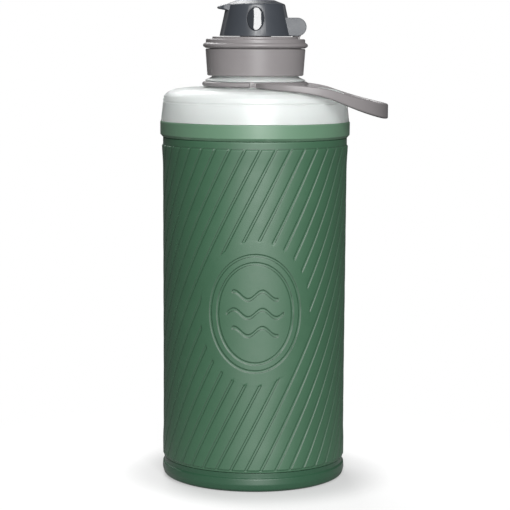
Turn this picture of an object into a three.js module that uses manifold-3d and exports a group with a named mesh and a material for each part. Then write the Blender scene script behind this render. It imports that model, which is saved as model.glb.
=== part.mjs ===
// A collapsible 1.5 litre water bottle. Units are millimetres, +Z is up, and the origin is
// the middle of the flat base. The carrying bail points to +X; the cap's thumb tab to -X.
import * as THREE from 'three';
import { mergeVertices } from 'three/addons/utils/BufferGeometryUtils.js';
import Module from 'manifold-3d';

const wasm = await Module();
wasm.setup();

// ---------------------------------------------------------------- driving dimensions
const SIDES = 40;             // facets round a large turned piece
const SMALL_SIDES = 24;       // and round a small one
const GAP = 0.3;              // clearance between two pieces that touch

const SLEEVE_RADIUS = 49.5;   // outside of the soft ribbed wall
const SLEEVE_BORE = 48.0;     // inside of the soft ribbed wall
const SPIGOT_RADIUS = SLEEVE_BORE - GAP;
const SPIGOT_WALL = 1.2;
const BAND_RADIUS = 51.0;     // welded hoop between wall and shoulder

const FOOT_TOP = 7.6;         // levels above the table
const SLEEVE_BOTTOM = 10.6;
const SLEEVE_TOP = 184.0;
const BAND_TOP = 192.8;
const DOME_TOP = 210.6;
const NECK_TOP = 228.7;

const MOUTH_RADIUS = 21.0;    // the 42 mm filling mouth
const NECK_ROOT = 22.4;       // outside of the neck between its threads
const GROOVE_RADIUS = 25.3;   // seat of the handle ring
const NECK_FLANGE = 26.8;     // keeps the handle ring down

const THREAD_PITCH = 4.5;
const THREAD_TURNS = 1.5;
const THREAD_FOOT = 219.4;    // level where both threads start

const HANDLE_LEVEL = 212.5;   // the handle ring's middle, and the bail's pivot
const RING_RADIUS = 27.15;    // centre line of the ring's bead
const BEAD = 2.7;             // the ring's thickness
const BAIL_REACH = 71.4;      // from the bottle's axis to the bail's outer face
const BAIL_HALF_WIDTH = 43.0;
const BAIL_WIDEST = 25.0;     // how far out the bail is widest
const STRAP = 2.8;            // the bail strap's thickness

const CAP_LEVEL = 217.0;      // bottom edge of the cap's skirt; cap pieces are measured from it
const SKIRT_HEIGHT = 14.3;
const DECK = 20.7;            // the collar's flat top
const COVER_FOOT = DECK + GAP;
const COVER_BASE = 19.35;     // the dust cover's radius at its foot
const COVER_SHOULDER = 15.7;  // and at its shoulder
const SHOULDER_LEVEL = 38.1;
const CROWN_LEVEL = 40.1;
const HINGE_X = 22.2;
const HINGE_Z = 26.0;
const HINGE_PIN = 1.2;

// ---------------------------------------------------------------- materials
const plastic = (color, roughness, opacity = 1) => new THREE.MeshStandardMaterial({
  color, roughness, metalness: 0, opacity, transparent: opacity < 1,
});
const GREEN = plastic(0x4c7a60, 0.45);
const DARK_GREEN = plastic(0x2c5b45, 0.45);
const CLEAR = plastic(0xe6f2ee, 0.3, 0.6);
const TAUPE = plastic(0x969293, 0.5);
const SLATE = plastic(0x454a51, 0.45);
const GLOSS = plastic(0x30343a, 0.12);
const PALE = plastic(0xb4b9be, 0.4);
const RUBBER = plastic(0x2b2d30, 0.8);
const STEEL = new THREE.MeshStandardMaterial({ color: 0xb8bcc0, roughness: 0.3, metalness: 1 });

// ---------------------------------------------------------------- shape helpers
// A turned piece from [radius, level] pairs, anticlockwise round its section.
function turned(profile, sides = SIDES) {
  const points = profile.map(([r, z]) => new THREE.Vector2(r, z));
  if (profile[0][0] > 0) points.push(points[0].clone());
  return bare(new THREE.LatheGeometry(points, sides).rotateX(Math.PI / 2));
}

// A geometry with positions only and its shared corners merged.
function bare(geometry) {
  geometry.deleteAttribute('normal');
  geometry.deleteAttribute('uv');
  return mergeVertices(geometry, 1e-4);
}

// [radius, level] pairs along an arc of a section, angles in degrees from the outward direction.
function arc(r, z, radius, from, to, steps = 4) {
  return Array.from({ length: steps + 1 }, (_, i) => {
    const a = THREE.MathUtils.degToRad(from + ((to - from) * i) / steps);
    return [r + radius * Math.cos(a), z + radius * Math.sin(a)];
  });
}

// A solid through a row of closed sections, each with the same number of corners.
function lofted(sections) {
  const n = sections[0].length;
  const positions = sections.flat().flatMap((p) => [p.x, p.y, p.z]);
  const index = [];
  for (let s = 0; s < sections.length - 1; s += 1) {
    for (let i = 0; i < n; i += 1) {
      const a = s * n + i;
      const b = s * n + ((i + 1) % n);
      index.push(a, b, b + n, a, b + n, a + n);
    }
  }
  const last = (sections.length - 1) * n;
  for (let i = 1; i < n - 1; i += 1) {
    index.push(0, i + 1, i, last, last + i, last + i + 1);
  }
  const geometry = new THREE.BufferGeometry();
  geometry.setAttribute('position', new THREE.Float32BufferAttribute(positions, 3));
  geometry.setIndex(index);
  return geometry;
}

// A plate with the outline (x, z), between two values of y.
function upright(shape, yFrom, yTo) {
  const options = { depth: yTo - yFrom, bevelEnabled: false, curveSegments: 10 };
  const plate = new THREE.ExtrudeGeometry(shape, options);
  return bare(plate.rotateX(Math.PI / 2).translate(0, yTo, 0));
}

// A plate with the outline (x, y), between two levels.
function level(shape, zFrom, zTo) {
  const options = { depth: zTo - zFrom, bevelEnabled: false, curveSegments: 6 };
  return bare(new THREE.ExtrudeGeometry(shape, options).translate(0, 0, zFrom));
}

const outline = (points) => new THREE.Shape(points.map(([x, y]) => new THREE.Vector2(x, y)));
const disc = (x, y, r) => new THREE.Shape().absarc(x, y, r, 0, 2 * Math.PI);
const oval = (x, y, rx, ry) => new THREE.Shape().absellipse(x, y, rx, ry, 0, 2 * Math.PI);

// A rod along Y.
function rod(x, z, radius, yFrom, yTo, sides = 24) {
  const cylinder = new THREE.CylinderGeometry(radius, radius, yTo - yFrom, sides);
  return bare(cylinder.translate(x, (yFrom + yTo) / 2, z));
}

function solid(geometry) {
  return new wasm.Manifold(new wasm.Mesh({
    numProp: 3,
    vertProperties: new Float32Array(geometry.attributes.position.array),
    triVerts: new Uint32Array(geometry.index.array),
  }));
}

function geometryOf(manifold) {
  const mesh = manifold.getMesh();
  const geometry = new THREE.BufferGeometry();
  geometry.setAttribute('position', new THREE.BufferAttribute(mesh.vertProperties, 3));
  geometry.setIndex(new THREE.BufferAttribute(mesh.triVerts, 1));
  return geometry;
}

const joined = (first, ...rest) => geometryOf(rest.reduce((s, g) => s.add(solid(g)), solid(first)));
const cut = (first, ...rest) => geometryOf(rest.reduce((s, g) => s.subtract(solid(g)), solid(first)));
const shared = (a, b) => geometryOf(solid(a).intersect(solid(b)));

function piece(name, geometry, material) {
  const mesh = new THREE.Mesh(geometry, material);
  mesh.name = name;
  return mesh;
}

// ---------------------------------------------------------------- body
function baseCup() {
  return turned([
    [0, 0], [47.6, 0], [49.2, 1.1], [49.6, 4.5], [49.4, FOOT_TOP - 0.5], [48.6, FOOT_TOP + GAP],
    [48.6, SLEEVE_BOTTOM - GAP], [SPIGOT_RADIUS, SLEEVE_BOTTOM - GAP],
    [SPIGOT_RADIUS, 17.5], [SPIGOT_RADIUS - SPIGOT_WALL, 17.5], [SPIGOT_RADIUS - SPIGOT_WALL, 4.5],
    [45, 3], [0, 3],
  ]);
}

function bodySleeve() {
  return turned([
    [48.9, SLEEVE_BOTTOM], [49.35, 12.5], [49.35, 20], [49.0, 28], [49.0, 60],
    [SLEEVE_RADIUS, 160], [50.1, 176.5], [50.1, 179.6], [SLEEVE_RADIUS, 180.4],
    [SLEEVE_RADIUS, SLEEVE_TOP], [SLEEVE_BORE, SLEEVE_TOP], [SLEEVE_BORE, SLEEVE_BOTTOM],
  ]);
}

const BAND_BORE = 48.9;       // takes the shoulder's own spigot

function shoulderBand() {
  const foot = SLEEVE_TOP + GAP;
  return turned([
    [SPIGOT_RADIUS, foot], [50.6, foot], [BAND_RADIUS, foot + 0.7], [BAND_RADIUS, BAND_TOP - 0.6],
    [50.7, BAND_TOP], [BAND_BORE, BAND_TOP], [BAND_BORE, foot + 1.2],
    [SPIGOT_RADIUS - SPIGOT_WALL, foot + 1.2], [SPIGOT_RADIUS - SPIGOT_WALL, 177],
    [SPIGOT_RADIUS, 177],
  ]);
}

const DOME_WALL = 1.5;
const DOME_HOLE = GROOVE_RADIUS + GAP;

function shoulderDome() {
  const foot = BAND_TOP + GAP;
  const spigot = BAND_BORE - GAP;
  return turned([
    [spigot, foot], [50.8, foot], [50.0, 198], [49.5, 203.4], [48.9, 206.2], [46.9, 208.3],
    [43.5, 209.6], [38.0, 210.4], [DOME_HOLE, DOME_TOP], [DOME_HOLE, DOME_TOP - DOME_WALL],
    [38.0, DOME_TOP - DOME_WALL - 0.2], [43.0, 208.0], [46.4, 206.3], [47.8, 203.0], [48.2, 197],
    [47.3, foot + 0.5], [47.3, 186.5], [spigot, 186.5],
  ]);
}

// The ridge of a screw thread, starting at an angle in turns. Its corners lie midway between
// those of the turned pieces, so that no two edges fall together.
function threadRidge(crest, root, foot, startTurn, turns) {
  const steps = Math.round(SIDES * turns);
  const crestHalf = 0.45;
  const rootHalf = 1.0;
  const outward = crest > root;
  const sections = [];
  for (let i = 0; i <= steps; i += 1) {
    const turn = (turns * i) / steps;
    const angle = (startTurn + turn + 0.5 / SIDES) * 2 * Math.PI;
    const z = foot + THREAD_PITCH * turn;
    const corner = (r, dz) => new THREE.Vector3(r * Math.cos(angle), r * Math.sin(angle), z + dz);
    const section = [corner(root, -rootHalf), corner(crest, -crestHalf), corner(crest, crestHalf),
      corner(root, rootHalf)];
    sections.push(outward ? section.reverse() : section);
  }
  return lofted(sections);
}

function threadedNeck() {
  const tube = turned([
    [23.8, 207.3], [33, 207.3], [33, 208.7], [GROOVE_RADIUS, 208.7], [GROOVE_RADIUS, 214.2],
    [NECK_FLANGE, 214.2], [NECK_FLANGE, 214.9], [23.2, 216.4], [23.1, 217.7], [NECK_ROOT, 218.2],
    [NECK_ROOT, NECK_TOP - 0.4], [NECK_ROOT - 0.4, NECK_TOP], [MOUTH_RADIUS, NECK_TOP],
    [MOUTH_RADIUS, 211.5],
  ]);
  return joined(tube, threadRidge(23.4, NECK_ROOT - 0.5, THREAD_FOOT, 0, THREAD_TURNS));
}

// ---------------------------------------------------------------- handle, about its own level
const TRUNNION = 0.65;
const EYE_BORE = 0.88;
const EYE_RADIUS = 1.38;
const EYE_FROM = 27.5;
const EYE_TO = 30.3;

function handleRing() {
  const half = BEAD / 2;
  const inner = GROOVE_RADIUS + GAP;
  const bead = turned([[inner, -half], ...arc(RING_RADIUS, 0, half, -90, 90, 6), [inner, half]]);
  const notch = new THREE.BoxGeometry(5.6, 10, 2 * BEAD);
  const web = EYE_FROM - GAP;
  const notches = [1, -1].map((side) => bare(notch.clone().translate(0, side * (web + 5), 0)));
  const trunnions = [1, -1].map((side) => {
    const [from, to] = [web - 0.6, EYE_TO - 0.5].map((y) => side * y).sort((a, b) => a - b);
    return rod(0, 0, TRUNNION, from, to);
  });
  return joined(cut(bead, ...notches), ...trunnions);
}

// The strap's centre line seen from above: a squared quarter by the pivots, then half an ellipse.
function bailPoint(t) {
  const quarter = Math.abs(t);
  const side = Math.sign(t) || 1;
  const half = BAIL_HALF_WIDTH - STRAP / 2;
  if (quarter <= 0.62) {
    const reach = BAIL_REACH - STRAP / 2 - BAIL_WIDEST;
    const a = (quarter / 0.62) * (Math.PI / 2);
    return [BAIL_WIDEST + reach * Math.cos(a), side * half * Math.sin(a)];
  }
  const pivotY = 29.3;
  const power = 3;
  const span = 1 - (pivotY / half) ** power;
  const depth = (BAIL_WIDEST - 1.6) / span ** (1 / power);
  const x = (BAIL_WIDEST - 1.6) * Math.sin(((quarter - 0.62) / 0.38) * (Math.PI / 2));
  return [BAIL_WIDEST - x, side * half * (1 - (x / depth) ** power) ** (1 / power)];
}

// The strap's middle seen from the side: out over the shoulder, then drooping.
const DROOP = new THREE.SplineCurve([
  [0, 0], [8, -0.5], [25, -1.75], [33, -2.9], [40, -4.6], [47, -7.2], [60, -11.5], [72, -14.6],
].map(([x, z]) => new THREE.Vector2(x, z)));

function droopAt(x) {
  let [low, high] = [0, 1];
  for (let i = 0; i < 20; i += 1) {
    const mid = (low + high) / 2;
    if (DROOP.getPoint(mid).x < x) low = mid;
    else high = mid;
  }
  return DROOP.getPoint(low).y;
}

const strapHeight = (x) => 2.6 + 5.6 * (Math.max(x, 0) / BAIL_REACH) ** 1.6;

function bailStrap() {
  const steps = 34;
  const sections = [];
  for (let i = 0; i <= steps; i += 1) {
    const t = 1 - (2 * i) / steps;
    const [x, y] = bailPoint(t);
    const [ax, ay] = bailPoint(Math.max(t - 0.01, -1));
    const [bx, by] = bailPoint(Math.min(t + 0.01, 1));
    const length = Math.hypot(bx - ax, by - ay);
    const normal = [(by - ay) / length, (ax - bx) / length];
    const half = strapHeight(x) / 2;
    const z = droopAt(x);
    const corner = (out, up) => new THREE.Vector3(x + normal[0] * out, y + normal[1] * out, z + up);
    const side = STRAP / 2;
    const chamfer = 0.5;
    sections.push([
      corner(side, -half + chamfer), corner(side, half - chamfer), corner(side - chamfer, half),
      corner(chamfer - side, half), corner(-side, half - chamfer), corner(-side, chamfer - half),
      corner(chamfer - side, -half), corner(side - chamfer, -half),
    ]);
  }
  return lofted(sections);
}

function bailHandle() {
  const eyes = [1, -1].map((side) => {
    const [from, to] = [EYE_FROM, EYE_TO].map((y) => side * y).sort((a, b) => a - b);
    return rod(0, 0, EYE_RADIUS, from, to);
  });
  const bore = rod(0, 0, EYE_BORE, -EYE_TO - 3, EYE_TO + 3);
  return cut(joined(bailStrap(), ...eyes), bore);
}

// ---------------------------------------------------------------- cap, above its skirt's edge
function capSkirt() {
  const shell = turned([
    [25.4, 0], [25.8, 0.5], [26.75, 13.8], [26.4, SKIRT_HEIGHT], [24.5, SKIRT_HEIGHT], [24.5, 16.0],
    [11.0, 16.0], [11.0, 13.2], [24.9, 13.2], [24.4, 0],
  ]);
  const foot = THREAD_FOOT - CAP_LEVEL;
  return joined(shell, threadRidge(23.0, 24.75, foot, -0.5, THREAD_TURNS));
}

const capGasket = () => turned([[19.8, 12.0], [24.0, 12.0], [24.0, 12.9], [19.8, 12.9]]);

const HINGE_EAR = 3.6;

function capCollar() {
  const collar = turned([
    [24.9, SKIRT_HEIGHT + GAP], [26.5, SKIRT_HEIGHT + GAP], ...arc(26.95, 16.1, 1.15, -60, 60, 4),
    [26.6, 17.6], [26.6, 19.1], [26.2, 19.5], [23.1, 19.5], [23.1, DECK],
    [11.2, DECK], [11.2, 16.3], [24.9, 16.3],
  ]);
  const ear = disc(HINGE_X, HINGE_Z, HINGE_EAR);
  const neck = outline([[20.1, 19.0], [24.4, 19.0], [24.9, HINGE_Z], [19.5, HINGE_Z]]);
  const half = 3.9;
  const bore = rod(HINGE_X, HINGE_Z, HINGE_PIN + GAP, -half - 1, half + 1);
  return cut(joined(collar, upright(ear, -half, half), upright(neck, -half, half)), bore);
}

function spoutSeat() {
  const cup = turned([
    [0, 8], [10.6, 8], [10.6, 11.6], [19.4, 11.6], [19.4, 12.9], [10.6, 12.9], [10.6, 20.4],
    [8.6, 20.4], [8.6, 9.3], [0, 9.3],
  ], SMALL_SIDES);
  const port = (i) => disc(5.6 * Math.cos((i * Math.PI) / 3), 5.6 * Math.sin((i * Math.PI) / 3), 2);
  return cut(cup, ...Array.from({ length: 6 }, (_, i) => level(port(i), 7, 10)));
}

function valveStem() {
  return turned([
    [0, 9.6], [3.0, 9.6], [3.0, 10.8], [2.0, 11.4], [2.0, 26.6], [2.9, 27.8], [2.9, 29.9],
    [2.4, 30.3], [0, 30.3],
  ], SMALL_SIDES);
}

const SEAL_GROOVE = 7.0;

function nozzle() {
  return turned([
    [4.4, 12.2], [8.3, 12.2], [8.3, 14.0], [SEAL_GROOVE, 14.0], [SEAL_GROOVE, 15.6], [8.3, 15.6],
    [8.3, 21.2], [7.6, 22.0], [6.6, 27.4], [7.2, 28.6], [7.2, 29.6], [6.6, 30.4], [3.3, 30.4],
    [3.3, 27.9], [4.4, 26.6],
  ], SMALL_SIDES);
}

const nozzleSeal = () => turned(arc(7.8, 14.8, 0.5, 0, 300, 5), SMALL_SIDES);

// ---------------------------------------------------------------- dust cover, in the cap's levels
const COVER_WALL = 1.5;
const EMBLEM_LEVEL = 30.2;
const EMBLEM_HALF = [4.5, 6.1];

function coverShell() {
  return turned([
    [COVER_BASE, COVER_FOOT], [COVER_SHOULDER, SHOULDER_LEVEL - 0.3],
    [COVER_SHOULDER - 0.4, SHOULDER_LEVEL], [10.0, CROWN_LEVEL], [6.0, CROWN_LEVEL],
    [6.0, CROWN_LEVEL - 1.6], [9.4, CROWN_LEVEL - 1.6], [COVER_SHOULDER - 1.8, SHOULDER_LEVEL - 1.3],
    [COVER_SHOULDER - 1.5, SHOULDER_LEVEL - 1.8], [COVER_BASE - COVER_WALL, COVER_FOOT],
  ]);
}

// The rounded thumb tab: its side view, trimmed by its plan.
function thumbTab() {
  const side = outline([
    [-14.6, 38.2], [-17.0, 37.7], [-19.9, 36.75], [-20.5, 36.2], [-20.4, 35.7], [-19.7, 35.4],
    [-15.2, 34.8], [-14.4, 34.8],
  ]);
  const width = 8.5;
  const corner = 4;
  const plan = new THREE.Shape()
    .moveTo(-10, -width)
    .lineTo(-20.5 + corner, -width)
    .absarc(-20.5 + corner, -width + corner, corner, -Math.PI / 2, -Math.PI, true)
    .absarc(-20.5 + corner, width - corner, corner, Math.PI, Math.PI / 2, true)
    .lineTo(-10, width);
  return shared(upright(side, -width, width), level(plan, 30, 42));
}

// One cheek of the hinge: a round lug and the web that joins it to the cone.
function hingeCheek(yFrom, yTo) {
  const lug = 4.9;
  const shape = new THREE.Shape()
    .moveTo(17.5, HINGE_Z - lug + 0.2)
    .lineTo(HINGE_X, HINGE_Z - lug)
    .absarc(HINGE_X, HINGE_Z, lug, -Math.PI / 2, Math.PI / 2, false)
    .lineTo(15.3, HINGE_Z + lug);
  return upright(shape, yFrom, yTo);
}

function dustCover() {
  const [inner, outer, blind] = [4.2, 7.2, 6.5];
  const body = joined(
    coverShell(), thumbTab(), hingeCheek(-outer, -inner), hingeCheek(inner, outer),
  );
  const pinHole = rod(HINGE_X, HINGE_Z, HINGE_PIN + GAP, -blind, blind);
  const pocket = shared(
    upright(oval(0, EMBLEM_LEVEL, EMBLEM_HALF[0] + GAP, EMBLEM_HALF[1] + GAP), -25, -8),
    emblemCone(1, -0.95),
  );
  return cut(body, pinHole, pocket);
}

// A cone parallel to the cover's wall, between two offsets from its outer face.
function emblemCone(outside, inside) {
  return turned([
    [COVER_BASE + inside, COVER_FOOT], [COVER_BASE + outside, COVER_FOOT],
    [COVER_SHOULDER + outside, SHOULDER_LEVEL], [COVER_SHOULDER + inside, SHOULDER_LEVEL],
  ]);
}

function coverEmblem() {
  const face = oval(0, EMBLEM_LEVEL, EMBLEM_HALF[0], EMBLEM_HALF[1]);
  return shared(upright(face, -25, -8), emblemCone(-0.1, -0.65));
}

function coverPlug() {
  return turned([
    [0, 36.9], [8.0, 36.9], [8.0, 38.2], [5.7, 38.2], [5.7, 40.4], [8.8, 40.4], [8.6, 40.9],
    [6.6, 41.6], [3.6, 42.0], [0, 42.1],
  ], SMALL_SIDES);
}

// ---------------------------------------------------------------- the bottle
const bottle = new THREE.Group();

const body = new THREE.Group();
body.add(
  piece('base_cup', baseCup(), DARK_GREEN),
  piece('body_sleeve', bodySleeve(), GREEN),
  piece('shoulder_band', shoulderBand(), GREEN),
  piece('shoulder_dome', shoulderDome(), CLEAR),
  piece('threaded_neck', threadedNeck(), CLEAR),
);

const handle = new THREE.Group();
handle.position.z = HANDLE_LEVEL;
handle.add(
  piece('handle_ring', handleRing(), TAUPE),
  piece('bail_handle', bailHandle(), TAUPE),
);

const cap = new THREE.Group();
cap.position.z = CAP_LEVEL;
cap.add(
  piece('cap_skirt', capSkirt(), TAUPE),
  piece('cap_gasket', capGasket(), RUBBER),
  piece('cap_collar', capCollar(), TAUPE),
  piece('spout_seat', spoutSeat(), TAUPE),
  piece('valve_stem', valveStem(), PALE),
  piece('nozzle', nozzle(), PALE),
  piece('nozzle_seal', nozzleSeal(), RUBBER),
  piece('hinge_pin', rod(HINGE_X, HINGE_Z, HINGE_PIN, -6.2, 6.2), STEEL),
  piece('dust_cover', dustCover(), SLATE),
  piece('cover_emblem', coverEmblem(), GLOSS),
  piece('cover_plug', coverPlug(), PALE),
);

bottle.add(body, handle, cap);

export default bottle;
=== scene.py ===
import math

import bmesh
import bpy
import numpy as np
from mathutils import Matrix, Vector


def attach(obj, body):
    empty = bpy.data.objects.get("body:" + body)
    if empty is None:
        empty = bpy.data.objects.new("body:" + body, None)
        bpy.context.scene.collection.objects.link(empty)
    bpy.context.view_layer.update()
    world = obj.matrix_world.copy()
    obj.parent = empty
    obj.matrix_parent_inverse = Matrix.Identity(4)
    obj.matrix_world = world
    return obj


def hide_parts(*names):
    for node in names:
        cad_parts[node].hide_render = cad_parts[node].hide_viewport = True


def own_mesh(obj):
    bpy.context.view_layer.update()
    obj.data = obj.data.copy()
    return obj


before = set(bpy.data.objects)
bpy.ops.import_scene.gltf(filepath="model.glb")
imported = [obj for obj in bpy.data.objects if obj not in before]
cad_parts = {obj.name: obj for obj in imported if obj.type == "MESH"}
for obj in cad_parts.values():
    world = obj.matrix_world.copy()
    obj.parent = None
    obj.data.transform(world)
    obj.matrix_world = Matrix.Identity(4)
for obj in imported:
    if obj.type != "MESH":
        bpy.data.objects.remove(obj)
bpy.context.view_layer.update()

MM = 0.001
AROUND = 192                 # segments round a large turned piece
FINE = 96                    # and round a small one
TAU = 2 * math.pi

HANDLE = 212.5               # level of the handle ring
CAP = 217.0                  # level of the cap skirt's edge; cap shapes are measured from it
SLEEVE_FOOT = 10.6           # levels of the wall's two ends
SLEEVE_TOP = 184.0
BORE = 48.0                  # radius of the wall's inside


# ---------------------------------------------------------------- camera, light and table
def make_camera():
    data = bpy.data.cameras.new("camera")
    data.lens = 133.1
    data.sensor_width = 36.0
    camera = bpy.data.objects.new("camera", data)
    camera.location = (-0.0003, -1.0164, 0.2404)
    pitch, roll = math.radians(6.756), math.radians(-0.32)
    camera.rotation_euler = (math.pi / 2 - pitch, roll, 0)
    bpy.context.scene.collection.objects.link(camera)
    bpy.context.scene.camera = camera


def softbox(name, place, target, size, power):
    data = bpy.data.lights.new(name, "AREA")
    data.shape = "RECTANGLE"
    data.size, data.size_y = size
    data.energy = power
    lamp = bpy.data.objects.new(name, data)
    lamp.location = place
    aim = Vector(target) - Vector(place)
    lamp.rotation_euler = aim.to_track_quat("-Z", "Y").to_euler()
    lamp.visible_camera = False
    bpy.context.scene.collection.objects.link(lamp)


def make_lights():
    middle = (0, 0, 0.14)
    softbox("front_softbox", (0.17, -1.5, 0.72), (0, 0, 0.32), (0.70, 1.30), 38)
    softbox("top_softbox", (0, -0.1, 1.4), middle, (0.7, 0.7), 0.8)
    softbox("back_softbox", (-0.45, 1.1, 1.3), middle, (0.9, 0.9), 18)


def graph(tree):
    """Empties a node tree, and gives the two calls that fill it: add a node, and link two sockets."""
    tree.nodes.clear()

    def add(kind, **settings):
        node = tree.nodes.new(kind)
        for key, value in settings.items():
            setattr(node, key, value)
        return node

    return add, tree.links.new


def looked_at(add, link):
    """1 where the surroundings are looked at, straight or through clear plastic, and 0 where they
    only shed light."""
    seen = add("ShaderNodeLightPath")
    either = add("ShaderNodeMath", operation="MAXIMUM")
    link(seen.outputs["Is Camera Ray"], either.inputs[0])
    link(seen.outputs["Is Transmission Ray"], either.inputs[1])
    return either.outputs[0]


STUDIO_LIGHT = 0.10          # what the white surroundings shed on the object


def make_world():
    world = bpy.data.worlds.new("studio")
    world.use_nodes = True
    bpy.context.scene.world = world
    add, link = graph(world.node_tree)
    strength = add("ShaderNodeMapRange")
    strength.inputs["To Min"].default_value = STUDIO_LIGHT
    background = add("ShaderNodeBackground")
    background.inputs["Color"].default_value = (1, 1, 1, 1)
    link(looked_at(add, link), strength.inputs["Value"])
    link(strength.outputs["Result"], background.inputs["Strength"])
    link(background.outputs[0], add("ShaderNodeOutputWorld").inputs["Surface"])


TABLE_RADIUS = 6
TABLE_SIDES = 64
TABLE_LEVEL = -0.0002        # just under the foot, so that the two faces don't share a plane
TABLE_GREY = 0.36
TABLE_LIGHT = 0.12           # what the plain white part of the table sheds on the object
FADE = (0.07, 0.20)          # distances from the axis between which the table turns plain white
PAINTED_SHADOW_RING = (0.050, 0.085)   # and between which its own glow rises just outside the foot, a painted contact shadow
PAINTED_SHADOW_GLOW = (0.42, 0.70)


def make_floor():
    mesh = bpy.data.meshes.new("table")
    sides = [(TABLE_RADIUS * math.cos(a), TABLE_RADIUS * math.sin(a), TABLE_LEVEL)
             for a in np.linspace(0, TAU, TABLE_SIDES, endpoint=False)]
    mesh.from_pydata(sides, [], [range(TABLE_SIDES)])
    floor = bpy.data.objects.new("table", mesh)
    bpy.context.scene.collection.objects.link(floor)
    mesh.materials.append(table_white())


def table_white():
    """A table that takes the bottle's shadow and fades to plain white further out. Its own glow is lower just
    outside the foot:
    a painted contact shadow that deepens the real one."""
    made = bpy.data.materials.new("table_white")
    made.use_nodes = True
    add, link = graph(made.node_tree)
    place = add("ShaderNodeTexCoord")
    distance = add("ShaderNodeVectorMath", operation="LENGTH")
    fade = add("ShaderNodeMapRange", interpolation_type="SMOOTHSTEP")
    fade.inputs["From Min"].default_value, fade.inputs["From Max"].default_value = FADE
    card = add("ShaderNodeBsdfPrincipled")
    card.inputs["Base Color"].default_value = (TABLE_GREY, TABLE_GREY, TABLE_GREY, 1)
    card.inputs["Roughness"].default_value = 0.6
    card.inputs["Specular IOR Level"].default_value = 0.2
    card.inputs["Emission Color"].default_value = (1, 1, 1, 1)
    glow = add("ShaderNodeEmission")
    seen = looked_at(add, link)
    level = add("ShaderNodeMapRange")
    level.inputs["To Min"].default_value = TABLE_LIGHT
    # painted contact shadow: less glow just outside the foot
    near = add("ShaderNodeMapRange", interpolation_type="SMOOTHSTEP")
    near.inputs["From Min"].default_value, near.inputs["From Max"].default_value = PAINTED_SHADOW_RING
    near.inputs["To Min"].default_value, near.inputs["To Max"].default_value = PAINTED_SHADOW_GLOW
    own = add("ShaderNodeMath", operation="MULTIPLY")
    mixed = add("ShaderNodeMixShader")
    link(seen, level.inputs["Value"])
    link(level.outputs["Result"], glow.inputs["Strength"])
    link(seen, own.inputs[0])
    link(distance.outputs["Value"], near.inputs["Value"])
    link(near.outputs["Result"], own.inputs[1])
    link(own.outputs[0], card.inputs["Emission Strength"])
    link(place.outputs["Object"], distance.inputs[0])
    link(distance.outputs["Value"], fade.inputs["Value"])
    link(fade.outputs["Result"], mixed.inputs["Fac"])
    link(card.outputs[0], mixed.inputs[1])
    link(glow.outputs[0], mixed.inputs[2])
    link(mixed.outputs[0], add("ShaderNodeOutputMaterial").inputs["Surface"])
    return made


# ---------------------------------------------------------------- materials
PATCH_SIZE = 24              # millimetres, of the colour's patches
GLOSS_PATCH = 6              # and of the gloss's
UNEVEN_GLOSS = (0.92, 1.1)   # least and greatest roughness, as shares of the one asked for
WORN_EDGE = (0.53, 0.62)     # pointiness where an edge starts to look worn, and where it is fully worn
GROOVE_SHADE_POINTINESS = (0.42, 0.49)   # pointiness where the painted shade in grooves is darkest, and where it ends
WORN_WHITENING = 0.35
# share of the colour that is left where the painted shade in grooves is darkest
GROOVE_SHADE_SHARE = 0.3
GRAIN_HEIGHT = 0.0003


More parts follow.
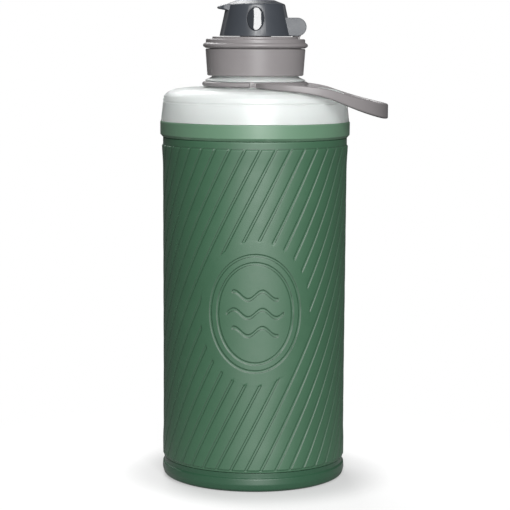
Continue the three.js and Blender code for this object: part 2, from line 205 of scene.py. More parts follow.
def finish_of(name, colour, roughness, grain=0.02, grain_size=0.35, mottle=0.06, wear=0.12, groove_shade=0.3,
              shade_from_creases=False, **more):
    """A moulded surface: mottled colour, lighter worn edges, painted shade darkening the grooves, uneven
    gloss and a fine grain.
    Sizes are in millimetres; the flag for creases takes the painted shade in grooves from a shade attribute
    on the mesh instead of from pointiness, and more holds other sockets of the shader."""
    made = bpy.data.materials.new(name)
    made.use_nodes = True
    add, link = graph(made.node_tree)
    shader = add("ShaderNodeBsdfPrincipled")
    for socket, value in more.items():
        shader.inputs[socket.replace("_", " ")].default_value = value
    place = add("ShaderNodeTexCoord")

    def noise(size, detail):
        made_noise = add("ShaderNodeTexNoise")
        made_noise.inputs["Scale"].default_value = 1000 / size
        made_noise.inputs["Detail"].default_value = detail
        link(place.outputs["Object"], made_noise.inputs["Vector"])
        return made_noise.outputs["Fac"]

    def spread(value, low, high, source=(0.3, 0.7)):
        ranged = add("ShaderNodeMapRange")
        ranged.inputs["From Min"].default_value, ranged.inputs["From Max"].default_value = source
        ranged.inputs["To Min"].default_value = low
        ranged.inputs["To Max"].default_value = high
        link(value, ranged.inputs["Value"])
        return ranged.outputs["Result"]

    patches = add("ShaderNodeMix", data_type="RGBA")
    shade = [c * (1 - mottle) for c in colour]
    light = [min(c * (1 + mottle), 1) for c in colour]
    patches.inputs["A"].default_value = (*shade, 1)
    patches.inputs["B"].default_value = (*light, 1)
    link(noise(PATCH_SIZE, 4), patches.inputs["Factor"])

    worn = add("ShaderNodeMix", data_type="RGBA")
    worn.inputs["B"].default_value = (*[c + (1 - c) * WORN_WHITENING for c in colour], 1)
    edges = add("ShaderNodeNewGeometry").outputs["Pointiness"]
    link(spread(edges, 0, wear, WORN_EDGE), worn.inputs["Factor"])
    link(patches.outputs["Result"], worn.inputs["A"])
    # painted shade: the colour darkens in grooves and narrow creases, where shade would fall
    painted_groove_shade = add("ShaderNodeMix", data_type="RGBA")
    painted_groove_shade.inputs["B"].default_value = (*[c * GROOVE_SHADE_SHARE for c in colour], 1)
    if shade_from_creases:
        crease_shade = add("ShaderNodeAttribute", attribute_name="crease_shade").outputs["Fac"]
        link(spread(crease_shade, 0, groove_shade, (0, 1)), painted_groove_shade.inputs["Factor"])
    else:
        link(spread(edges, groove_shade, 0, GROOVE_SHADE_POINTINESS), painted_groove_shade.inputs["Factor"])
    link(worn.outputs["Result"], painted_groove_shade.inputs["A"])
    link(painted_groove_shade.outputs["Result"], shader.inputs["Base Color"])

    smooth, rough = [roughness * share for share in UNEVEN_GLOSS]
    link(spread(noise(GLOSS_PATCH, 6), smooth, rough), shader.inputs["Roughness"])
    bump = add("ShaderNodeBump")
    bump.inputs["Strength"].default_value = grain
    bump.inputs["Distance"].default_value = GRAIN_HEIGHT
    link(noise(grain_size, 3), bump.inputs["Height"])
    link(bump.outputs["Normal"], shader.inputs["Normal"])
    link(shader.outputs[0], add("ShaderNodeOutputMaterial").inputs["Surface"])
    return made


def make_materials():
    return {
        # the wall's green takes its painted shade in channels and lines from the shade stored on the mesh
        "green_tpu": finish_of("green_tpu", (0.033, 0.110, 0.055), 0.55, grain=0.10, grain_size=0.5,
                               mottle=0.08, wear=0, groove_shade=0.75, shade_from_creases=True, Specular_IOR_Level=0.6,
                               Coat_Weight=0.8, Coat_Roughness=0.58),
        # a lighter copy of the wall's green: painted light, standing in for light that shines through the
        # band
        "green_band_painted_light": finish_of("green_band_painted_light", (0.115, 0.225, 0.142), 0.48, grain=0.06, mottle=0.05,
                                Specular_IOR_Level=0.6, Coat_Weight=0.4, Coat_Roughness=0.45),
        # darker than the wall's green: painted shade for the bottom of the bottle, which gets less light
        "green_base": finish_of("green_base", (0.024, 0.082, 0.043), 0.42, grain=0.06, wear=0.1,
                                Coat_Weight=0.4, Coat_Roughness=0.4),
        "clear_tpu": finish_of("clear_tpu", (0.94, 0.975, 0.96), 0.36, grain=0.05, mottle=0.02, wear=0,
                               Transmission_Weight=0.5, IOR=1.46, Subsurface_Weight=0.1,
                               Subsurface_Radius=(0.004, 0.005, 0.0045)),
        "taupe_plastic": finish_of("taupe_plastic", (0.232, 0.217, 0.220), 0.38, grain=0.05, wear=0.16),
        "slate_plastic": finish_of("slate_plastic", (0.046, 0.052, 0.062), 0.38, grain=0.05, wear=0.2),
        "gloss_black": finish_of("gloss_black", (0.030, 0.034, 0.040), 0.07, grain=0.004, wear=0.05,
                                 Coat_Weight=0.6, Coat_Roughness=0.03),
        "plug_silicone": finish_of("plug_silicone", (0.13, 0.14, 0.155), 0.5, grain=0.03, wear=0.05),
        "pale_silicone": finish_of("pale_silicone", (0.44, 0.47, 0.51), 0.42, grain=0.05, wear=0.05),
        "seal_rubber": finish_of("seal_rubber", (0.022, 0.023, 0.025), 0.7, grain=0.1, wear=0.1),
        "pin_steel": finish_of("pin_steel", (0.62, 0.63, 0.64), 0.25, grain=0.05, wear=0.2, Metallic=1.0),
    }


# ---------------------------------------------------------------- mesh helpers, in millimetres
def mesh_object(name, points, faces):
    mesh = bpy.data.meshes.new(name)
    mesh.from_pydata((np.asarray(points, float) * MM).tolist(), [], faces)
    mesh.validate()
    mesh.shade_smooth()
    made = bpy.data.objects.new(name, mesh)
    bpy.context.scene.collection.objects.link(made)
    return made


def fillet(corners, radius, steps=3):
    """Rounds the corners of a closed outline of (r, z) or (r, z, own radius); corners on the axis stay."""
    count = len(corners)
    rounded = []
    for i, corner in enumerate(corners):
        here = np.array(corner[:2], float)
        own = corner[2] if len(corner) > 2 else radius
        before = np.array(corners[i - 1][:2], float) - here
        after = np.array(corners[(i + 1) % count][:2], float) - here
        long_before, long_after = np.linalg.norm(before), np.linalg.norm(after)
        before, after = before / long_before, after / long_after
        turn = math.pi - math.acos(np.clip(before @ after, -1, 1))
        if own <= 0 or here[0] < 0.01 or turn < math.radians(4):
            rounded.append(tuple(here))
            continue
        reach = min(own * math.tan(turn / 2), 0.45 * long_before, 0.45 * long_after)
        start, end = here + before * reach, here + after * reach
        for t in np.linspace(0, 1, steps + 1):
            rounded.append(tuple((1 - t) ** 2 * start + 2 * t * (1 - t) * here + t * t * end))
    return rounded


def lathe(name, outline, radius=0.25, base=0.0, around=AROUND):
    """A turned piece from a closed outline of (r, z), anticlockwise round its section."""
    outline = fillet(outline, radius)
    points, faces, rings = [], [], []
    for r, z in outline:
        if r < 0.01:
            rings.append([len(points)] * around)
            points.append((0, 0, z + base))
        else:
            rings.append(list(range(len(points), len(points) + around)))
            for i in range(around):
                a = TAU * i / around
                points.append((r * math.cos(a), r * math.sin(a), z + base))
    for s, low in enumerate(rings):
        high = rings[(s + 1) % len(rings)]
        for i in range(around):
            j = (i + 1) % around
            corners = [low[i], low[j], high[j], high[i]]
            kept = [c for n, c in enumerate(corners) if c not in corners[:n]]
            if len(kept) > 2:
                faces.append(kept)
    return mesh_object(name, points, faces)


def even_normals(obj):
    """Lets large faces decide how the shading runs over small ones."""
    modifier = obj.modifiers.new("even_normals", "WEIGHTED_NORMAL")
    modifier.keep_sharp = True
    return obj


def loft(name, sections, closed=False):
    """A skin through rows of points; the ends are closed by flat faces unless the rows meet."""
    count, n = len(sections), len(sections[0])
    points = [p for section in sections for p in section]
    faces = []
    for s in range(count if closed else count - 1):
        a, b = s * n, ((s + 1) % count) * n
        faces += [(a + i, a + (i + 1) % n, b + (i + 1) % n, b + i) for i in range(n)]
    if not closed:
        faces.append(list(range(n))[::-1])
        faces.append([(count - 1) * n + i for i in range(n)])
    return mesh_object(name, points, faces)


def outward(obj):
    """Turns every face of a closed mesh outward."""
    mesh = bmesh.new()
    mesh.from_mesh(obj.data)
    bmesh.ops.recalc_face_normals(mesh, faces=mesh.faces)
    mesh.to_mesh(obj.data)
    mesh.free()
    return obj


def merge(first, *others):
    """One object from several; their shells stay apart inside it."""
    for other in others:
        mesh = bmesh.new()
        mesh.from_mesh(first.data)
        mesh.from_mesh(other.data)
        mesh.to_mesh(first.data)
        mesh.free()
        bpy.data.objects.remove(other)
    first.data.shade_smooth()
    return first


def carve(obj, others, operation):
    """Joins or cuts obj with the others, then removes them."""
    for other in others:
        modifier = obj.modifiers.new("carve", "BOOLEAN")
        modifier.operation = operation
        modifier.solver = "EXACT"
        modifier.object = other
        settle(obj)
        bpy.data.objects.remove(other)
    return obj


def settle(obj):
    """Makes the modifiers' result the object's own mesh."""
    evaluated = obj.evaluated_get(bpy.context.evaluated_depsgraph_get())
    result = bpy.data.meshes.new_from_object(evaluated)
    obj.modifiers.clear()
    obj.data = result
    return obj


def soften(obj, width, angle=32, segments=3):
    """Rounds the edges sharper than an angle."""
    modifier = obj.modifiers.new("soften", "BEVEL")
    modifier.width = width * MM
    modifier.segments = segments
    modifier.limit_method = "ANGLE"
    modifier.angle_limit = math.radians(angle)
    modifier.harden_normals = False
    modifier.use_clamp_overlap = True
    return even_normals(obj)


def rod(name, x, z, radius, y_from, y_to, edge=0.15, around=FINE):
    """A round bar along Y with softened ends."""
    profile = fillet([(0, y_from), (radius, y_from), (radius, y_to), (0, y_to)], edge)
    sections = []
    for r, y in profile:
        r = max(r, 0.002)
        sections.append([(x + r * math.cos(a), y, z - r * math.sin(a))
                         for a in np.linspace(0, TAU, around, endpoint=False)])
    return loft(name, sections)


def plate(name, outline, y_from, y_to):
    """A flat plate with the outline (x, z), between two values of y."""
    sections = [[(x, y, z) for x, z in outline] for y in (y_from, y_to)]
    return outward(loft(name, sections))


def place(obj, body, slot, *nodes, look=None):
    """Gives a piece its body, finish and the CAD nodes that it stands for."""
    obj.data.materials.clear()
    obj.data.materials.append(MATERIALS[look or slot])
    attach(obj, body)
    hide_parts(*nodes)
    return obj


# ---------------------------------------------------------------- body
def base_cup():
    made = lathe("base_cup_fine", [
        (0, 0.6), (38.5, 0.6), (40.0, 0), (46.4, 0, 2), (48.8, 1.1, 2.5), (49.6, 4.2, 3), (49.4, 7.3, 0.6),
        (48.6, 7.9, 0.2), (48.6, 10.3, 0.15), (47.7, 10.3), (47.7, 17.5), (46.5, 17.5), (46.5, 4.5, 2),
        (45, 3, 1), (0, 3),
    ])
    # the base cup's darker green is painted shade
    place(even_normals(made), "base", "green_base", "base_cup")


RIBS = 39                    # narrow slanted channels, with a nearly flat panel between each two
RIB_SLOPE = 0.596            # degrees round the wall for each millimetre up
RIB_START = -1.17            # angle of one channel at the medallion's level
RIB_FROM = 11.9              # where the channels and their panels begin and end
RIB_TO = 179.9
MEDALLION_LEVEL = 95.0
MEDALLION_ANGLE = 0.7
MEDALLION_HALF = (24.2, 30.5)
CLEAR_HALF = (30.6, 38.0)    # the plain oval that the channels stop at
OVAL_GAP = 4.2               # between the medallion's two ovals
WAVES = ((9.5, 11.5), (0, 14.5), (-9.5, 11.5))      # each wave's level and half its width
WAVE_HEIGHT = 2.2
WAVE_LENGTH = 15.0
WAVE_LEAN = 0.78             # turns a height over a wave roughly into the distance to its leaning line
CHANNEL_DEPTH = 0.42
CHANNEL_SIDE = 0.62          # from a channel's middle to the middle of its steep side
SIDE_HALF = 0.24             # half the width of that steep side
PANEL_CROWN = 0.07           # how far a panel's middle stands above its edges
HEM_LEVEL = 180.35           # the fold above the channels, where a line of painted shade runs
MEAN_RADIUS = 49.2
PERIOD = 360 / RIBS
SLANT = math.cos(math.atan(math.radians(RIB_SLOPE) * MEAN_RADIUS))
ARC = math.radians(1) * MEAN_RADIUS     # millimetres round the wall for each degree


def wall_radius(z):
    """Radius of the panels at a level."""
    levels = [SLEEVE_FOOT, 11.5, 12.1, 20, 28, 60, 160, 172, 176.5, 179.6, 180.4, SLEEVE_TOP]
    radii = [48.9, 48.95, 49.45, 49.45, 49.2, 49.2, 49.5, 49.62, 49.95, 50.1, 49.5, 49.5]
    return np.interp(z, levels, radii)


def step(value, low, high):
    """Rises smoothly from 0 at low to 1 at high."""
    t = np.clip((value - low) / (high - low), 0, 1)
    return t * t * (3 - 2 * t)


def channel(distance):
    """Depth from 0 to 1 at a distance from a channel's middle."""
    return 1 - step(np.abs(distance), CHANNEL_SIDE - SIDE_HALF, CHANNEL_SIDE + SIDE_HALF)


def side(distance):
    """Nearness to a channel's steep sides, from 0 to 1."""
    return np.exp(-(((np.abs(distance) - CHANNEL_SIDE) / 0.2) ** 2))


def oval_distance(x, z, half):
    """Roughly how far a point is outside an oval."""
    share = np.hypot(x / half[0], z / half[1])
    slope = np.hypot(x / half[0] ** 2, z / half[1] ** 2) / np.maximum(share, 1e-6)
    return (share - 1) / np.maximum(slope, 1e-3)


def medallion_lines(x, z):
    """Distance to the nearest line of the medallion: a double oval round three waves."""
    nearest = np.abs(oval_distance(x, z, MEDALLION_HALF))
    inner = (MEDALLION_HALF[0] - OVAL_GAP, MEDALLION_HALF[1] - OVAL_GAP)
    nearest = np.minimum(nearest, np.abs(oval_distance(x, z, inner)))
    for level, reach in WAVES:
        wave = z - level - WAVE_HEIGHT * np.sin(x * TAU / WAVE_LENGTH)
        beyond = np.maximum(np.abs(x) - reach, 0)
        nearest = np.minimum(nearest, np.hypot(wave * WAVE_LEAN, beyond))
    return nearest


def wall_places(angle, z):
    """For points of the outer wall: distance to the nearest slanted channel, share of it that is cut
    there, and distance to the nearest line of the medallion. Angles are in degrees from the front."""
    phase = (angle - RIB_START - RIB_SLOPE * (z - MEDALLION_LEVEL) + PERIOD / 2) % PERIOD - PERIOD / 2
    x = ARC * ((angle - MEDALLION_ANGLE + 180) % 360 - 180)
    height = z - MEDALLION_LEVEL
    clear = oval_distance(x, height, CLEAR_HALF)
    cut = step(clear, -0.3, 0.3) * step(z, RIB_FROM - 0.4, RIB_FROM) * (1 - step(z, RIB_TO, RIB_TO + 0.5))
    lines = np.where(clear < -1, medallion_lines(x, height), 99)
    return phase * ARC * SLANT, cut, lines


def wall_surface(angle, z):
    """Radius of the outer wall, and how shaded its narrow creases are."""
    across, cut, lines = wall_places(angle, z)
    crown = PANEL_CROWN * (1 - np.cos(across / (PERIOD * ARC * SLANT / 2) * math.pi)) / 2
    depth = CHANNEL_DEPTH * (channel(across) * cut + 0.85 * channel(lines))
    depth += (PANEL_CROWN - crown) * cut * (1 - channel(across))
    # painted shade along each channel's steep sides, the medallion's lines and the fold at the hem
    hem = np.exp(-(((z - HEM_LEVEL) / 0.28) ** 2)) * (1 - channel(across))
    shade = np.clip(side(across) * cut + side(lines) + 0.8 * hem, 0, 1)
    return wall_radius(z) - depth, shade


def wall_columns():
    """Angles of the mesh's columns at the medallion's level, crowded at each channel."""
    one_side = [0.3, 0.46, 0.62, 0.78, 0.95, 1.6, 2.6]
    places = [-away for away in one_side[::-1]] + [0] + one_side
    offsets = [away / (ARC * SLANT) for away in places] + [PERIOD / 2]
    return np.array([RIB_START + PERIOD * rib + offset for rib in range(RIBS) for offset in offsets])


def wall_levels():
    """Levels of the mesh's rows: close together at the two ends and over the medallion."""
    foot = [SLEEVE_FOOT + 0.15, 11.2, 11.5, 11.7, 11.9, 12.1, 12.5]
    low = list(np.arange(14.5, 54, 3.0))
    middle = list(np.arange(55.0, 136, 0.8))
    high = list(np.arange(138.0, 178, 3.0))
    hem = [178.6, 179.3, 179.6, 179.8, 180.0, 180.2, 180.4, 180.6, 180.9, 182, 183.2, SLEEVE_TOP - 0.15]
    return np.array(foot + low + middle + high + hem)


def refine(mesh):
    """Divides the faces near the medallion's lines and the channels' ends."""
    middles = np.array([face.calc_center_median() for face in mesh.faces]) / MM
    radius = np.hypot(middles[:, 0], middles[:, 1])
    angle = np.degrees(np.arctan2(middles[:, 0], -middles[:, 1]))
    across, cut, lines = wall_places(angle, middles[:, 2])
    near = (lines < 1.7) | ((np.abs(across) < 1.3) & (0.01 < cut) & (cut < 0.99))
    near &= (radius > BORE + 0.4) & (np.abs(middles[:, 2] - MEDALLION_LEVEL) < CLEAR_HALF[1] + 2)
    edges = {edge for face, chosen in zip(mesh.faces, near) if chosen for edge in face.edges}
    edges = sorted(edges, key=lambda edge: edge.index)
    bmesh.ops.subdivide_edges(mesh, edges=edges, cuts=3, use_grid_fill=True)


def body_sleeve():
    """The soft wall: panels and slanted channels outside, plain inside."""
    columns = wall_columns()
    outside = [(z, wall_radius(z)) for z in wall_levels()]
    rim = [(SLEEVE_TOP, wall_radius(SLEEVE_TOP) - 0.2), (SLEEVE_TOP, BORE + 0.2),
           (SLEEVE_TOP - 0.2, BORE)]
    # the columns lean, so widely spaced rows would bow inwards and cut into the lips
    inside = [(z, BORE) for z in range(176, 14, -8)]
    foot = [(SLEEVE_FOOT + 0.2, BORE), (SLEEVE_FOOT, BORE + 0.2),
            (SLEEVE_FOOT, wall_radius(SLEEVE_FOOT) - 0.15)]
    points = []
    for z, r in outside + rim + inside + foot:
        turn = np.radians(columns + RIB_SLOPE * (z - MEDALLION_LEVEL))
        points.append(np.stack([r * np.sin(turn), -r * np.cos(turn), np.full(len(turn), z)], 1))
    rows, n = len(points), len(columns)
    faces = []
    for row in range(rows):
        a, b = row * n, ((row + 1) % rows) * n
        faces += [(a + i, a + (i + 1) % n, b + (i + 1) % n, b + i) for i in range(n)]
    made = mesh_object("body_sleeve_fine", np.concatenate(points), faces)
    mesh = bmesh.new()
    mesh.from_mesh(made.data)
    refine(mesh)
    mesh.to_mesh(made.data)
    mesh.free()
    carve_wall(made)
    place(made, "sleeve", "green_tpu", "body_sleeve")
    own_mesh(made)


def carve_wall(wall):
    """Moves the outer vertices in or out to the wall's surface, and stores how much painted shade each gets,
    darkest in the narrow creases.
    """
    count = len(wall.data.vertices)
    co = np.zeros(count * 3)
    wall.data.vertices.foreach_get("co", co)
    co = co.reshape(-1, 3) / MM
    radius = np.hypot(co[:, 0], co[:, 1])
    outer = (radius > BORE + 0.4) & (co[:, 2] > SLEEVE_FOOT + 0.1) & (co[:, 2] < SLEEVE_TOP - 0.1)
    angle = np.degrees(np.arctan2(co[:, 0], -co[:, 1]))
    surface, shade = wall_surface(angle, co[:, 2])
    scale = np.where(outer, surface / radius, 1)
    co[:, :2] *= scale[:, None]
    wall.data.vertices.foreach_set("co", (co * MM).ravel())
    # stored for the material, which paints shade into the colour with it
    crease_shade = wall.data.attributes.new("crease_shade", "FLOAT", "POINT")
    crease_shade.data.foreach_set("value", np.where(outer, shade, 0))
    wall.data.update()


def shoulder_band():
    made = lathe("shoulder_band_fine", [
        (47.7, 184.3), (49.7, 184.3, 0.2), (50.95, 185.7, 0.5), (51.0, 192.2, 0.5), (50.7, 192.8, 0.15),
        (48.9, 192.8), (48.9, 185.5), (46.5, 185.5), (46.5, 177), (47.7, 177),
    ])
    # the band's lighter green is painted light
    place(even_normals(made), "shoulder", "green_tpu", "shoulder_band", look="green_band_painted_light")


def shoulder_dome():
    made = lathe("shoulder_dome_fine", [
        (48.6, 193.1), (48.9, 192.85), (50.6, 192.85, 0.15), (50.0, 198, 6), (49.55, 202.6, 0.15),
        (49.25, 202.9, 0.15), (49.25, 203.4, 0.15), (49.45, 203.8, 0.2), (48.9, 206.2, 2),
        (46.9, 208.3, 2.5), (43.5, 209.6, 4), (38.0, 210.4, 5), (25.6, 210.6), (25.6, 209.1),
        (38.0, 208.7, 5), (43.0, 208.0, 4), (46.4, 206.3, 2.5), (47.8, 203.0, 2), (48.2, 197, 2),
        (47.3, 193.6), (47.3, 186.5), (48.6, 186.5),
    ], radius=0.2)
    place(even_normals(made), "shoulder", "clear_tpu", "shoulder_dome")


PITCH = 4.5
THREAD_FOOT = 219.4


def thread(name, crest, root, start_turn, turns=1.5, steps=180):
    """A screw ridge of round section that fades in and out at its ends."""
    sections = []
    sign = 1 if crest > root else -1
    for i in range(steps + 1):
        turn = turns * i / steps
        a = TAU * (start_turn + turn)
        z = THREAD_FOOT + PITCH * turn
        fade = min(1, 12 * min(i, steps - i) / steps + 0.25)
        section = []
        for out, up in ((0, -1.0), (0.55, -0.72), (1, -0.35), (1, 0.35), (0.55, 0.72), (0, 1.0)):
            r = root + (crest - root) * out * fade
            section.append((r * math.cos(a), r * math.sin(a), z + up * sign))
        sections.append(section)
    return outward(loft(name, sections))


def threaded_neck():
    tube = lathe("threaded_neck_fine", [
        (23.8, 207.3), (33, 207.3), (33, 208.7), (25.3, 208.7), (25.3, 214.2), (26.8, 214.2, 0.12),
        (26.8, 214.75, 0.15), (23.3, 216.3, 0.4), (23.1, 217.7), (22.4, 218.2), (22.4, 228.3), (22.0, 228.7),
        (21, 228.7), (21, 211.5),
    ], radius=0.15)
    tube = merge(tube, thread("ridge", 23.4, 22.1, 0))
    place(tube, "shoulder", "clear_tpu", "threaded_neck")


# ---------------------------------------------------------------- handle
BEAD_AT = 27.15              # radius of the ring's middle line
RING_BORE = 25.6
NOTCH = 2.8                  # half the width of the gap that takes a bail eye
TRUNNION = 0.65              # radius of the stub that a bail eye turns on


def bead_section(half=1.35, inner=RING_BORE, steps=20):
    """The ring's section: flat inside, round outside."""
    arc = [(BEAD_AT + half * math.cos(a), half * math.sin(a))
           for a in np.linspace(-math.pi / 2, math.pi / 2, steps)]
    return [(inner, -half + 0.15), (inner + 0.15, -half)] + arc + [(inner + 0.15, half), (inner, half - 0.15)]


def handle_ring():
    shells = []
    for side in (0, math.pi):
        reach = math.pi / 2 - math.asin((NOTCH + 0.05) / BEAD_AT)
        sections = []
        for a in np.linspace(side - reach, side + reach, 120):
            sections.append([(r * math.cos(a), r * math.sin(a), z + HANDLE) for r, z in bead_section()])
        shells.append(outward(loft("half", sections)))
    for side in (1, -1):
        bridge = []
        reach = math.asin(NOTCH / RING_BORE) + 0.02
        for a in np.linspace(side * math.pi / 2 - reach, side * math.pi / 2 + reach, 16):
            bridge.append([(r * math.cos(a), r * math.sin(a), z + HANDLE)
                           for r, z in ((RING_BORE, -1.2), (26.3, -1.2), (26.3, 1.2), (RING_BORE, 1.2))])
        shells.append(outward(loft("bridge", bridge)))
        ends = sorted((side * 26.0, side * 29.8))
        shells.append(outward(rod("trunnion", 0, HANDLE, TRUNNION, ends[0], ends[1])))
    ring = merge(*shells)
    ring.name = "handle_ring_fine"
    place(even_normals(ring), "ring", "taupe_plastic", "handle_ring")


REACH = 71.4                 # from the bottle's axis to the bail's far face
HALF_WIDTH = 43.0
WIDEST = 25.0                # how far out the bail is widest
BEND = 0.62                  # share of each half of the strap that lies beyond its widest place
STRAP = 2.8                  # the strap's thickness
STRAP_HEIGHT = 2.9           # the strap's height by the axis
STRAP_GROWTH = 5.3           # what is added to it at the far end
EYE_BORE = 0.88
EYE_RADIUS = 1.38
EYE_SPAN = (27.5, 30.3)      # where an eye starts and ends along Y
# the strap's middle line from the side: how far out, and how far above the pivots
DROOP = [(0, 0), (8, -0.5), (25, -1.75), (33, -2.9), (40, -4.6), (47, -7.2), (60, -11.5), (72, -14.6)]


def spline(knots, x):
    """A smooth curve through the knots, from cubic pieces with matched slopes."""
    xs, ys = np.array(knots, float).T
    slopes = np.gradient(ys, xs)
    i = int(np.clip(np.searchsorted(xs, x) - 1, 0, len(xs) - 2))
    span = xs[i + 1] - xs[i]
    t = (x - xs[i]) / span
    return ((2 * t**3 - 3 * t**2 + 1) * ys[i] + (t**3 - 2 * t**2 + t) * span * slopes[i]
            + (3 * t**2 - 2 * t**3) * ys[i + 1] + (t**3 - t**2) * span * slopes[i + 1])


def bail_point(t):
    """The strap's middle line from above, for t from -1 to 1: half an ellipse round the far end, and
    a squarer quarter in to each pivot."""
    share, side = abs(t), math.copysign(1, t)
    half = HALF_WIDTH - STRAP / 2
    if share <= BEND:
        a = share / BEND * math.pi / 2
        return np.array([WIDEST + (REACH - STRAP / 2 - WIDEST) * math.cos(a), side * half * math.sin(a)])
    power, pivot = 3, 29.3
    depth = (WIDEST - 1.6) / (1 - (pivot / half) ** power) ** (1 / power)
    x = (WIDEST - 1.6) * math.sin((share - BEND) / (1 - BEND) * math.pi / 2)
    return np.array([WIDEST - x, side * half * (1 - (x / depth) ** power) ** (1 / power)])


def strap_section(side, half, corner=0.85, steps=5):
    """A rounded box, (out, up) pairs."""
    points = []
    for sx, sz, start in ((1, 1, 0), (-1, 1, 90), (-1, -1, 180), (1, -1, 270)):
        for i in range(steps + 1):
            a = math.radians(start + 90 * i / steps)
            points.append((sx * (side - corner) + corner * math.cos(a),
                           sz * (half - corner) + corner * math.sin(a)))
    return points


def bail_handle():
    sections = []
    for t in np.linspace(1, -1, 260):
        x, y = bail_point(t)
        ahead = bail_point(min(t + 0.004, 1)) - bail_point(max(t - 0.004, -1))
        ahead /= np.linalg.norm(ahead)
        half = (STRAP_HEIGHT + STRAP_GROWTH * (max(x, 0) / REACH) ** 1.6) / 2
        middle = HANDLE + spline(DROOP, x)
        sections.append([(x + ahead[1] * out, y - ahead[0] * out, middle + up)
                         for out, up in strap_section(STRAP / 2, half)])
    strap = outward(loft("bail_handle_fine", sections))
    eyes = []
    for side in (1, -1):
        low, high = sorted(side * y for y in EYE_SPAN)
        ring = [(EYE_BORE, low), (EYE_RADIUS, low), (EYE_RADIUS, high), (EYE_BORE, high)]
        rows = [[(r * math.cos(a), y, HANDLE + r * math.sin(a)) for r, y in fillet(ring, 0.15)]
                for a in np.linspace(0, TAU, 48, endpoint=False)]
        eyes.append(outward(loft("eye", rows, closed=True)))
    strap = merge(strap, *eyes)
    place(even_normals(strap), "bail", "taupe_plastic", "bail_handle")


# ---------------------------------------------------------------- cap
def cap_skirt():
    shell = lathe("cap_skirt_fine", [
        (25.4, 0, 0.3), (25.8, 0.5, 0.3), (26.75, 13.8, 0.3), (26.4, 14.3, 0.2), (24.5, 14.3), (24.5, 16.0),
        (11.0, 16.0), (11.0, 13.2), (24.9, 13.2, 0.6), (24.4, 0),
    ], base=CAP)
    shell = merge(shell, thread("ridge", 23.0, 24.7, -0.5))
    place(even_normals(shell), "cap", "taupe_plastic", "cap_skirt")


def cap_gasket():
    made = lathe("cap_gasket_fine", [(19.8, 12.0), (24.0, 12.0), (24.0, 12.9), (19.8, 12.9)], base=CAP)
    place(even_normals(made), "cap_seal", "seal_rubber", "cap_gasket")


HINGE = (22.2, 26.0)         # the pin's place across and up, in the cap's levels
PIN_HOLE = 1.5               # radius
EAR_RADIUS = 3.6
EAR_HALF = 3.9               # half the ear's width along the pin


def cap_collar():
    bead = [(26.95 + 1.15 * math.cos(a), 16.1 + 1.15 * math.sin(a), 0)
            for a in np.radians(np.linspace(-60, 60, 13))]
    collar = lathe("cap_collar_fine", [
        (24.9, 14.6), (26.5, 14.6, 0.15), *bead, (26.6, 17.6, 0.12), (26.6, 19.1, 0.3), (26.2, 19.5, 0.3),
        (23.1, 19.5, 0.25), (23.1, 20.7, 0.3), (11.2, 20.7), (11.2, 16.3), (24.9, 16.3),
    ], base=CAP, radius=0.2)
    x, z = HINGE[0], HINGE[1] + CAP
    ear = [(x + EAR_RADIUS * math.cos(a), z + EAR_RADIUS * math.sin(a))
           for a in np.linspace(-0.75, math.pi + 0.75, 40)]
    ear = plate("ear", ear + [(20.1, CAP + 19.2), (23.4, CAP + 19.2)], -EAR_HALF, EAR_HALF)
    hole = outward(rod("hole", x, z, PIN_HOLE, -5, 5))
    soften(carve(ear, [hole], "DIFFERENCE"), 0.3)
    collar = merge(collar, settle(ear))
    place(even_normals(collar), "cap", "taupe_plastic", "cap_collar")


PORTS = 6                    # round holes that let the water through to the spout
PORT_RADIUS = 2
PORT_CIRCLE = 5.6            # radius of the circle that they stand on


def spout_seat():
    cup = lathe("spout_seat_fine", [
        (0, 8), (10.6, 8), (10.6, 11.6), (19.4, 11.6), (19.4, 12.9), (10.6, 12.9), (10.6, 20.4), (8.6, 20.4),
        (8.6, 9.3), (0, 9.3),
    ], base=CAP, around=FINE)
    for i in range(PORTS):
        a = i * TAU / PORTS
        port = lathe("port", [(0, 7), (PORT_RADIUS, 7), (PORT_RADIUS, 10), (0, 10)], radius=0, base=CAP,
                     around=32)
        port.location = (PORT_CIRCLE * MM * math.cos(a), PORT_CIRCLE * MM * math.sin(a), 0)
        bpy.context.view_layer.update()
        carve(cup, [port], "DIFFERENCE")
    place(even_normals(cup), "cap", "taupe_plastic", "spout_seat")


def valve_stem():
    made = lathe("valve_stem_fine", [
        (0, 9.6), (3.0, 9.6), (3.0, 10.8), (2.0, 11.4), (2.0, 26.6, 0.6), (2.9, 27.8, 0.5), (2.9, 29.9, 0.5),
        (2.4, 30.3), (0, 30.3),
    ], base=CAP, around=FINE)
    place(even_normals(made), "cap", "pale_silicone", "valve_stem")


def nozzle():
    made = lathe("nozzle_fine", [
        (4.4, 12.2), (8.3, 12.2), (8.3, 14.0), (7.0, 14.0), (7.0, 15.6), (8.3, 15.6), (8.3, 21.2, 0.8),
        (7.6, 22.0, 1.2), (6.6, 27.4, 1.5), (7.2, 28.6, 0.8), (7.2, 29.6, 0.5), (6.6, 30.4, 0.5),
        (3.3, 30.4, 0.5), (3.3, 27.9), (4.4, 26.6),
    ], base=CAP, around=FINE)
    place(even_normals(made), "spout", "pale_silicone", "nozzle")


def nozzle_seal():
    ring = [(7.8 + 0.5 * math.cos(a), 14.8 + 0.5 * math.sin(a), 0)
            for a in np.linspace(0, TAU, 20, endpoint=False)]
    place(lathe("nozzle_seal_fine", ring, base=CAP, around=FINE), "spout", "seal_rubber", "nozzle_seal")


def hinge_pin():
    made = outward(rod("hinge_pin_fine", HINGE[0], HINGE[1] + CAP, 1.2, -6.2, 6.2, edge=0.3))
    place(even_normals(made), "cap", "pin_steel", "hinge_pin")


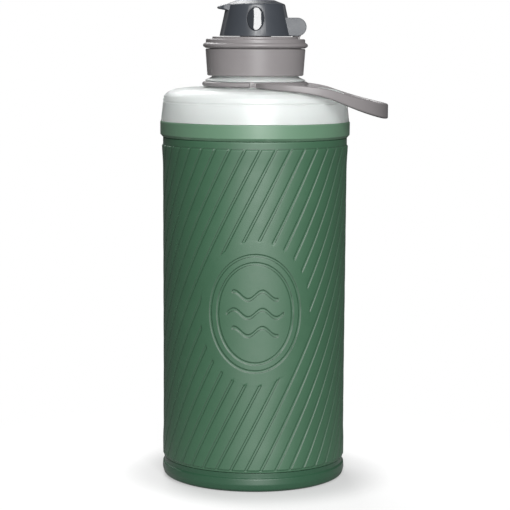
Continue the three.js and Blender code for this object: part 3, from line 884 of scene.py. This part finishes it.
# ---------------------------------------------------------------- dust cover, in the cap's levels
COVER_FOOT = 21.0
COVER_SHOULDER = 38.1
FOOT_RADIUS = 19.35
SHOULDER_RADIUS = 15.7
EMBLEM_LEVEL = 30.2
EMBLEM_HALF = (4.5, 6.1)
TAB_ROOT = -13.6             # where the thumb tab joins the cone
TAB_TIP = -20.5
CHEEK_RADIUS = 4.9
CHEEK_SPAN = (4.2, 7.2)      # where a cheek starts and ends along the pin, on each side


def cover_radius(z):
    """Radius of the cover's cone at a level."""
    share = (z - COVER_FOOT) / (COVER_SHOULDER - COVER_FOOT)
    return FOOT_RADIUS + (SHOULDER_RADIUS - FOOT_RADIUS) * share


def emblem_row(share, offset, half, around=72):
    """A row of points on an oval drawn on the cover's cone, at an offset from its face."""
    row = []
    for a in np.linspace(0, TAU, around, endpoint=False):
        x = share * half[0] * math.cos(a)
        z = EMBLEM_LEVEL + share * half[1] * math.sin(a)
        row.append((x, -math.sqrt((cover_radius(z) + offset) ** 2 - x * x), z + CAP))
    return row


def thumb_tab():
    """The side view of the tab, swept across and drawn in towards its rounded corners."""
    width, corner = 8.5, 4.0
    side = fillet([(TAB_ROOT, 38.0), (-17.0, 37.75, 3), (-19.9, 36.85, 1.5), (TAB_TIP, 36.2, 0.6),
                   (-20.4, 35.65, 0.5), (-19.7, 35.35, 1), (-15.2, 34.6, 1.5), (TAB_ROOT, 34.2)], 0, 5)
    sections = []
    for s in np.linspace(-1, 1, 61):
        y = width * math.sin(s * math.pi / 2)
        past = max(abs(y) - (width - corner), 0)
        pulled = corner - math.sqrt(corner**2 - past**2)
        scale = (TAB_TIP - TAB_ROOT + pulled) / (TAB_TIP - TAB_ROOT)
        sections.append([(TAB_ROOT + (x - TAB_ROOT) * scale, y, z + CAP) for x, z in side])
    return outward(loft("tab", sections))


def cheek(y_from, y_to):
    """One lug of the hinge and its web to the cone."""
    x, z = HINGE[0], HINGE[1] + CAP
    outline = [(17.0, z - CHEEK_RADIUS + 0.2)]
    outline += [(x + CHEEK_RADIUS * math.cos(a), z + CHEEK_RADIUS * math.sin(a))
                for a in np.linspace(-math.pi / 2, math.pi / 2, 48)]
    outline += [(15.2, z + CHEEK_RADIUS)]
    return settle(soften(plate("cheek", outline, y_from, y_to), 0.35))


def dust_cover():
    cover = lathe("dust_cover_fine", [
        (FOOT_RADIUS, COVER_FOOT, 0.3), (15.78, 37.7, 0.7), (15.2, 38.15, 0.6), (10.0, 40.1, 0.6),
        (6.0, 40.1), (6.0, 38.5), (9.4, 38.5, 0.5), (13.9, 36.8, 0.8), (14.2, 36.3, 0.8),
        (17.85, COVER_FOOT, 0.2),
    ], base=CAP, radius=0.25)
    near, far = CHEEK_SPAN
    carve(outward(cover), [thumb_tab(), cheek(-far, -near), cheek(near, far)], "UNION")
    half = (EMBLEM_HALF[0] + 0.3, EMBLEM_HALF[1] + 0.3)
    pocket = [emblem_row(1, 2.0, half), emblem_row(1, -0.85, half), emblem_row(0.97, -0.95, half),
              emblem_row(0.5, -0.95, half), emblem_row(0.02, -0.95, half)]
    pocket = outward(loft("pocket", pocket))
    bore = outward(rod("bore", HINGE[0], HINGE[1] + CAP, PIN_HOLE, -6.5, 6.5))
    carve(cover, [pocket, bore], "DIFFERENCE")
    place(soften(cover, 0.18, angle=40, segments=2), "cover", "slate_plastic", "dust_cover")


def cover_emblem():
    rows = [(0.02, -0.65), (0.5, -0.65), (0.97, -0.65), (1.0, -0.5), (1.0, -0.28), (0.985, -0.17),
            (0.95, -0.11), (0.85, -0.1), (0.6, -0.1), (0.3, -0.1), (0.02, -0.1)]
    made = outward(loft("cover_emblem_fine", [emblem_row(s, o, EMBLEM_HALF) for s, o in rows]))
    place(even_normals(made), "cover", "gloss_black", "cover_emblem")


def cover_plug():
    made = lathe("cover_plug_fine", [
        (0, 36.9), (8.0, 36.9), (8.0, 38.2), (5.7, 38.2), (5.7, 40.4), (8.8, 40.4, 0.15), (8.6, 40.9, 0.4),
        (6.6, 41.6, 2), (3.6, 42.0, 3), (0, 42.1),
    ], base=CAP, around=FINE, radius=0.2)
    place(even_normals(made), "cover", "pale_silicone", "cover_plug", look="plug_silicone")


make_camera()
make_lights()
make_world()
make_floor()
bpy.context.scene.view_settings.view_transform = "Standard"
MATERIALS = make_materials()

for build in (base_cup, body_sleeve, shoulder_band, shoulder_dome, threaded_neck, handle_ring, bail_handle,
              cap_skirt, cap_gasket, cap_collar, spout_seat, valve_stem, nozzle, nozzle_seal, hinge_pin,
              dust_cover, cover_emblem, cover_plug):
    build()
